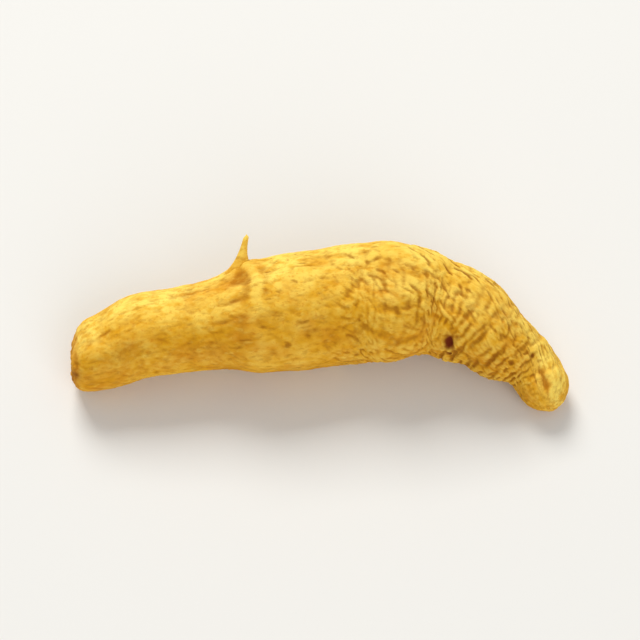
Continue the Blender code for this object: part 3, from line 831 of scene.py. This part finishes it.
foot, foot_across, foot_up, foot_half = (part[0] for part in axis_frames(np.array([THORN_AT])))
foot_directions = np.array([np.cross(foot_across, foot_up), foot_across, foot_up])
thorn_straight, thorn_straight_ends = straight_thorn(foot_half)
thorn_points = foot + thorn_straight @ foot_directions
thorn_ends = foot + thorn_straight_ends @ foot_directions
bare = np.zeros(thorn_points.shape[:2])
thorn_rise = np.linspace(0.0, 1.0, THORN_RINGS)[:, None]
up_thorn = np.repeat(fade(thorn_rise, *THORN_COLOUR_FADE), THORN_SIDES, axis=1)
thorn_marks = dict.fromkeys(body_marks, bare) | {"ridge": 0.4 * up_thorn, "dust_and_highlight": 0.3 + 0.5 * up_thorn,
                                                 "orange": 0.4 * (1 - up_thorn)}
print("thorn rings:", thorn_points.shape[0], "sides:", thorn_points.shape[1])


# %% [markdown]
# ## From grids to one mesh
#
# A grid of points becomes quads between neighbours, and a fan at each end closes it. Each point
# also keeps its place on the straight finger, so that a pattern drawn there follows the bend. The
# thorn is then joined to the body by a Boolean union, so that no surface is left inside.

# %% Mesh from a grid
def closed_mesh(name, grid, ends, straight, straight_ends, marks):
    """Quads between each point and its neighbours, the columns wrapping round, and a fan of
    triangles from each end point. Marks hold one number for each grid point."""
    rows, columns = grid.shape[:2]
    row, column = np.meshgrid(np.arange(rows - 1), np.arange(columns), indexing="ij")
    here, beside = row * columns + column, row * columns + (column + 1) % columns
    quads = np.stack([here, beside, beside + columns, here + columns], axis=-1).reshape(-1, 4)
    around = np.arange(columns)
    nearby = (around + 1) % columns
    first, last, top = rows * columns, rows * columns + 1, (rows - 1) * columns
    start_fan = np.stack([np.full(columns, first), nearby, around], axis=-1)
    end_fan = np.stack([np.full(columns, last), top + around, top + nearby], axis=-1)
    corners = np.vstack([grid.reshape(-1, 3), ends]) * MM
    mesh = bpy.data.meshes.new(name)
    mesh.from_pydata(corners.tolist(), [], quads.tolist() + start_fan.tolist() + end_fan.tolist())
    for label, values in marks.items():
        stored = mesh.attributes.new(label, "FLOAT", "POINT")
        at_ends = [values[0].mean(), values[-1].mean()]
        stored.data.foreach_set("value", np.concatenate([values.ravel(), at_ends]).astype(np.float32))
    unbent = np.vstack([straight.reshape(-1, 3), straight_ends]) * MM
    stored = mesh.attributes.new("unbent", "FLOAT_VECTOR", "POINT")
    stored.data.foreach_set("vector", unbent.ravel().astype(np.float32))
    mesh.shade_smooth()
    return mesh


def as_object(name, mesh):
    """Put a mesh into the scene."""
    thing = bpy.data.objects.new(name, mesh)
    bpy.context.scene.collection.objects.link(thing)
    return thing


# %% Join the thorn to the body
body_straight = np.stack([along, radius * np.cos(angle), radius * np.sin(angle)], axis=-1)
body_straight_ends = np.array([[0.0, 0.0, 0.0], [axis_length, 0.0, 0.0]])
thorn_shift = np.array([THORN_AT, 0.0, 0.0])
body_mesh = closed_mesh("turmeric_rind", points, end_points, body_straight, body_straight_ends, body_marks)
thorn_mesh = closed_mesh("thorn", thorn_points, thorn_ends, thorn_straight + thorn_shift,
                         thorn_straight_ends + thorn_shift, thorn_marks)
rind = as_object("turmeric_rind", body_mesh)
thorn = as_object("thorn", thorn_mesh)
union = rind.modifiers.new("thorn joined", "BOOLEAN")
union.operation = "UNION"
union.solver = "MANIFOLD"
union.object = thorn
bpy.context.view_layer.update()
joined = bpy.data.meshes.new_from_object(rind.evaluated_get(bpy.context.evaluated_depsgraph_get()))
rind.modifiers.remove(union)
rind.data = joined
bpy.data.objects.remove(thorn)
triangles = sum(len(face.vertices) - 2 for face in joined.polygons)
print("joined mesh:", len(joined.vertices), "points,", triangles, "triangles")


# %% Settle over the solid
def corners_of(mesh):
    """All points of a mesh as an array of rows."""
    flat_list = np.empty(len(mesh.vertices) * 3)
    mesh.vertices.foreach_get("co", flat_list)
    return flat_list.reshape(-1, 3)


corners = corners_of(rind.data)
shift = (low_corner + high_corner) / 2 - (corners.min(axis=0) + corners.max(axis=0)) / 2
shift[2] = low_corner[2] - corners[:, 2].min()
rind.data.vertices.foreach_set("co", (corners + shift).ravel())
rind.data.update()
print("moved by mm:", (shift / MM).round(3), "attributes:", [stored.name for stored in rind.data.attributes])


# %% [markdown]
# ## The finish
#
# Dried turmeric is matte and dusty. Under a thin pale scurf the rind is golden yellow; where it
# is rubbed it turns orange, lines of its wrinkles and cracks are drawn brown, and a root pit is
# nearly red. Valleys get ochre as painted shade, and ridges and the lit upper side get pale as
# painted highlight.
# The material mixes those colours by the numbers stored on the mesh, and breaks every edge
# between them with noise, because a real stain has no clean border.

# %% Helpers for materials
def linear(hex_colour):
    """A sRGB hex colour as linear red, green, blue and alpha."""
    channels = [int(hex_colour[i:i + 2], 16) / 255 for i in (1, 3, 5)]
    lit = [c / 12.92 if c <= 0.04045 else ((c + 0.055) / 1.055) ** 2.4 for c in channels]
    return (*lit, 1.0)


def add_node(tree, kind, settings, inputs):
    """Add a node with its settings. Inputs go by socket name or number, and each is another
    node's output or a plain value."""
    node = tree.nodes.new(kind)
    for name, value in settings.items():
        setattr(node, name, value)
    for name, value in inputs.items():
        if isinstance(value, bpy.types.NodeSocket):
            tree.links.new(value, node.inputs[name])
        else:
            node.inputs[name].default_value = value
    return node


# %% Small pieces of the rind's material
GOLD = linear("#E2A212")
ORANGE = linear("#D2820E")
# Pale yellow serves for dust and specks, and as painted highlight on ridges and the lit upper side.
PALE_DUST_AND_HIGHLIGHT = linear("#FDDC64")
# Ochre serves for specks and stains, and as painted shade in valleys.
OCHRE_AND_CREASE_SHADE = linear("#A8680B")
LINE_BROWN = linear("#8A4F0B")
PIT_BROWN = linear("#682508")
WAXY_BREAK = linear("#C97A14")

material = bpy.data.materials.new("dried turmeric rind, sun-dried and dusty")
material.use_nodes = True
tree = material.node_tree
tree.nodes.clear()
place_node = add_node(tree, "ShaderNodeAttribute", {"attribute_name": "unbent"}, {})
unbent_place = place_node.outputs["Vector"]


def mark(label):
    """One of the numbers stored on the mesh."""
    return add_node(tree, "ShaderNodeAttribute", {"attribute_name": label}, {}).outputs["Fac"]


def drawn_out(stretch):
    """Unbent place, shrunk along the finger so that a pattern in it comes out longer."""
    inputs = {"Vector": unbent_place, "Scale": (1 / stretch, 1.0, 1.0)}
    return add_node(tree, "ShaderNodeMapping", {}, inputs).outputs["Vector"]


def noise(size_mm, detail, stretch=1.0):
    """Noise with blotches of about that size, longer along the finger by the stretch."""
    inputs = {"Vector": drawn_out(stretch), "Scale": 1 / (size_mm * MM), "Detail": detail, "Roughness": 0.6}
    return add_node(tree, "ShaderNodeTexNoise", {}, inputs).outputs["Fac"]


def ramp(value, low, high, bottom=0.0, top=1.0):
    """Smooth step of a value from low to high, giving bottom to top."""
    inputs = {"Value": value, "From Min": low, "From Max": high, "To Min": bottom, "To Max": top}
    stepped = add_node(tree, "ShaderNodeMapRange", {"interpolation_type": "SMOOTHSTEP"}, inputs)
    return stepped.outputs["Result"]


def times(first, second):
    """Product of two values, kept between 0 and 1."""
    settings = {"operation": "MULTIPLY", "use_clamp": True}
    return add_node(tree, "ShaderNodeMath", settings, {0: first, 1: second}).outputs["Value"]


def laid_over(under, over, share):
    """One colour laid on another by a share."""
    return add_node(tree, "ShaderNodeMix", {"data_type": "RGBA"}, {0: share, 6: under, 7: over}).outputs[2]


# %% Colour of the rind
# From below upwards: golden rind with rubbed orange, pale scurf with painted highlight on the lit
# upper side and on ridges, small specks of pale, ochre and orange, the waxy break, and last
# painted shade in valleys, the brown of lines, stains with two patches of painted shade, and pits.
colour = laid_over(GOLD, ORANGE, ramp(noise(2.6, 4.0, 1.2), 0.44, 0.68, 0.0, 0.5))
colour = laid_over(colour, ORANGE, times(mark("orange"), ramp(noise(0.8, 3.0, 1.5), 0.30, 0.60, 0.3, 1.0)))
dust_break = ramp(noise(0.7, 5.0, 1.5), 0.34, 0.60, 0.25, 1.0)
# Pale scurf, with painted highlight on the lit upper side and in the listed pale patches.
colour = laid_over(colour, PALE_DUST_AND_HIGHLIGHT, times(mark("dust_and_highlight"), dust_break))
# Painted highlight on ridges, in the pale of the dust; on the thorn this share pales the upper part.
colour = laid_over(colour, PALE_DUST_AND_HIGHLIGHT, times(mark("ridge"), 0.45))
colour = laid_over(colour, PALE_DUST_AND_HIGHLIGHT, ramp(noise(0.55, 2.0, 1.5), 0.56, 0.74, 0.0, 0.32))
colour = laid_over(colour, OCHRE_AND_CREASE_SHADE, ramp(noise(0.50, 3.0, 1.8), 0.52, 0.72, 0.0, 0.38))
colour = laid_over(colour, ORANGE, ramp(noise(0.26, 3.0), 0.55, 0.72, 0.0, 0.5))
colour = laid_over(colour, WAXY_BREAK, times(mark("torn"), 0.55))
# Painted shade: ochre darkens the valleys.
colour = laid_over(colour, OCHRE_AND_CREASE_SHADE, times(mark("valley"), ramp(noise(0.5, 3.0), 0.25, 0.65, 0.5, 0.9)))
colour = laid_over(colour, LINE_BROWN, times(mark("line"), ramp(noise(0.3, 3.0), 0.25, 0.60, 0.30, 0.75)))
# Stains, two of them painted shade: at the thorn's foot and on the front near the broken end.
colour = laid_over(colour, OCHRE_AND_CREASE_SHADE, times(mark("stain_and_shade"), ramp(noise(0.45, 3.0), 0.25, 0.60, 0.4, 1.0)))
colour = laid_over(colour, PIT_BROWN, mark("scar"))

# %% Grain of the rind
# Between its wrinkles the skin puckers into a finer net, with meshes guessed at 0.4 mm wide. The
# powder's own grains are too fine to show, so they are drawn 0.14 mm wide. Both are only bump.
FINE_NET_MM, DUST_GRAIN_MM, BUMP_DEPTH_MM = 0.42, 0.14, 0.06

fine_net = add_node(tree, "ShaderNodeTexVoronoi", {"feature": "DISTANCE_TO_EDGE"},
                    {"Vector": drawn_out(1.7), "Scale": 1 / (FINE_NET_MM * MM)})
net_height = ramp(fine_net.outputs["Distance"], 0.0, 0.28)
net_bump = add_node(tree, "ShaderNodeBump", {},
                    {"Height": net_height, "Strength": 0.22, "Distance": BUMP_DEPTH_MM * MM})
dust_bump = add_node(tree, "ShaderNodeBump", {},
                     {"Height": noise(DUST_GRAIN_MM, 4.0), "Strength": 0.6,
                      "Distance": BUMP_DEPTH_MM * MM, "Normal": net_bump.outputs["Normal"]})
rind_shader = add_node(tree, "ShaderNodeBsdfPrincipled", {}, {
    "Base Color": colour,
    "Roughness": ramp(mark("valley"), 0.0, 1.0, 0.78, 0.92),
    "Specular IOR Level": 0.14,
    "Normal": dust_bump.outputs["Normal"],
})
add_node(tree, "ShaderNodeOutputMaterial", {}, {"Surface": rind_shader.outputs["BSDF"]})
rind.data.materials.clear()
rind.data.materials.append(material)
print("nodes in the rind's material:", len(tree.nodes))

# %% Say what the piece stands for
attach(rind, "root")
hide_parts(NODE)

# %% [markdown]
# ## Floor, light and camera
#
# The photograph looks straight across the plane of the finger's bend, with light from the top of
# the picture. The finger lies on its side here, so the camera looks steeply down on it, and the
# main light stands behind it.

# %% Floor
FLOOR_HALF = 1.5
floor_mesh = bpy.data.meshes.new("pale_floor")
floor_corners = [(x * FLOOR_HALF, y * FLOOR_HALF, 0.0) for x, y in ((-1, -1), (1, -1), (1, 1), (-1, 1))]
floor_mesh.from_pydata(floor_corners, [], [(0, 1, 2, 3)])
floor = as_object("pale_floor", floor_mesh)
# Rough, slightly grey paper takes the soft shadow and mirrors nothing.
paper = bpy.data.materials.new("pale matte paper")
paper.use_nodes = True
paper_shader = paper.node_tree.nodes["Principled BSDF"]
paper_shader.inputs["Base Color"].default_value = linear("#E4E3E0")
paper_shader.inputs["Roughness"].default_value = 0.9
floor_mesh.materials.append(paper)


# %% Lights
def soft_light(name, place, size, watts, colour_hex):
    """A square area light that looks at the finger."""
    data = bpy.data.lights.new(name, "AREA")
    data.size = size
    data.energy = watts
    data.color = linear(colour_hex)[:3]
    light = bpy.data.objects.new(name, data)
    light.location = place
    light.rotation_euler = (-Vector(place)).to_track_quat("-Z", "Y").to_euler()
    bpy.context.scene.collection.objects.link(light)


soft_light("key from behind", (-0.16, 0.50, 0.55), 0.36, 4.65, "#FFFDF8")
soft_light("fill from the front", (0.25, -0.60, 0.45), 0.60, 2.4, "#FAFBFF")
world = bpy.context.scene.world or bpy.data.worlds.new("studio")
bpy.context.scene.world = world
world.use_nodes = True
world.node_tree.nodes["Background"].inputs["Color"].default_value = linear("#F4F4F2")
world.node_tree.nodes["Background"].inputs["Strength"].default_value = 0.5

# %% Camera
ELEVATION = math.radians(60)
LENS = 150.0
SENSOR = 36.0
FRAME_SHARE = 0.78
finger_width = float(high_corner[0] - low_corner[0])
distance = finger_width / FRAME_SHARE * LENS / SENSOR
aim = Vector((low_corner + high_corner) / 2)
camera_data = bpy.data.cameras.new("view")
camera_data.lens = LENS
camera_data.sensor_width = SENSOR
camera_data.clip_start = 0.01
camera = bpy.data.objects.new("view", camera_data)
camera.location = aim + distance * Vector((0.0, -math.cos(ELEVATION), math.sin(ELEVATION)))
camera.rotation_euler = (aim - camera.location).to_track_quat("-Z", "Y").to_euler()
bpy.context.scene.collection.objects.link(camera)
bpy.context.scene.camera = camera
bpy.context.scene.view_settings.view_transform = "Standard"
print("camera distance in mm:", round(distance / MM, 1))
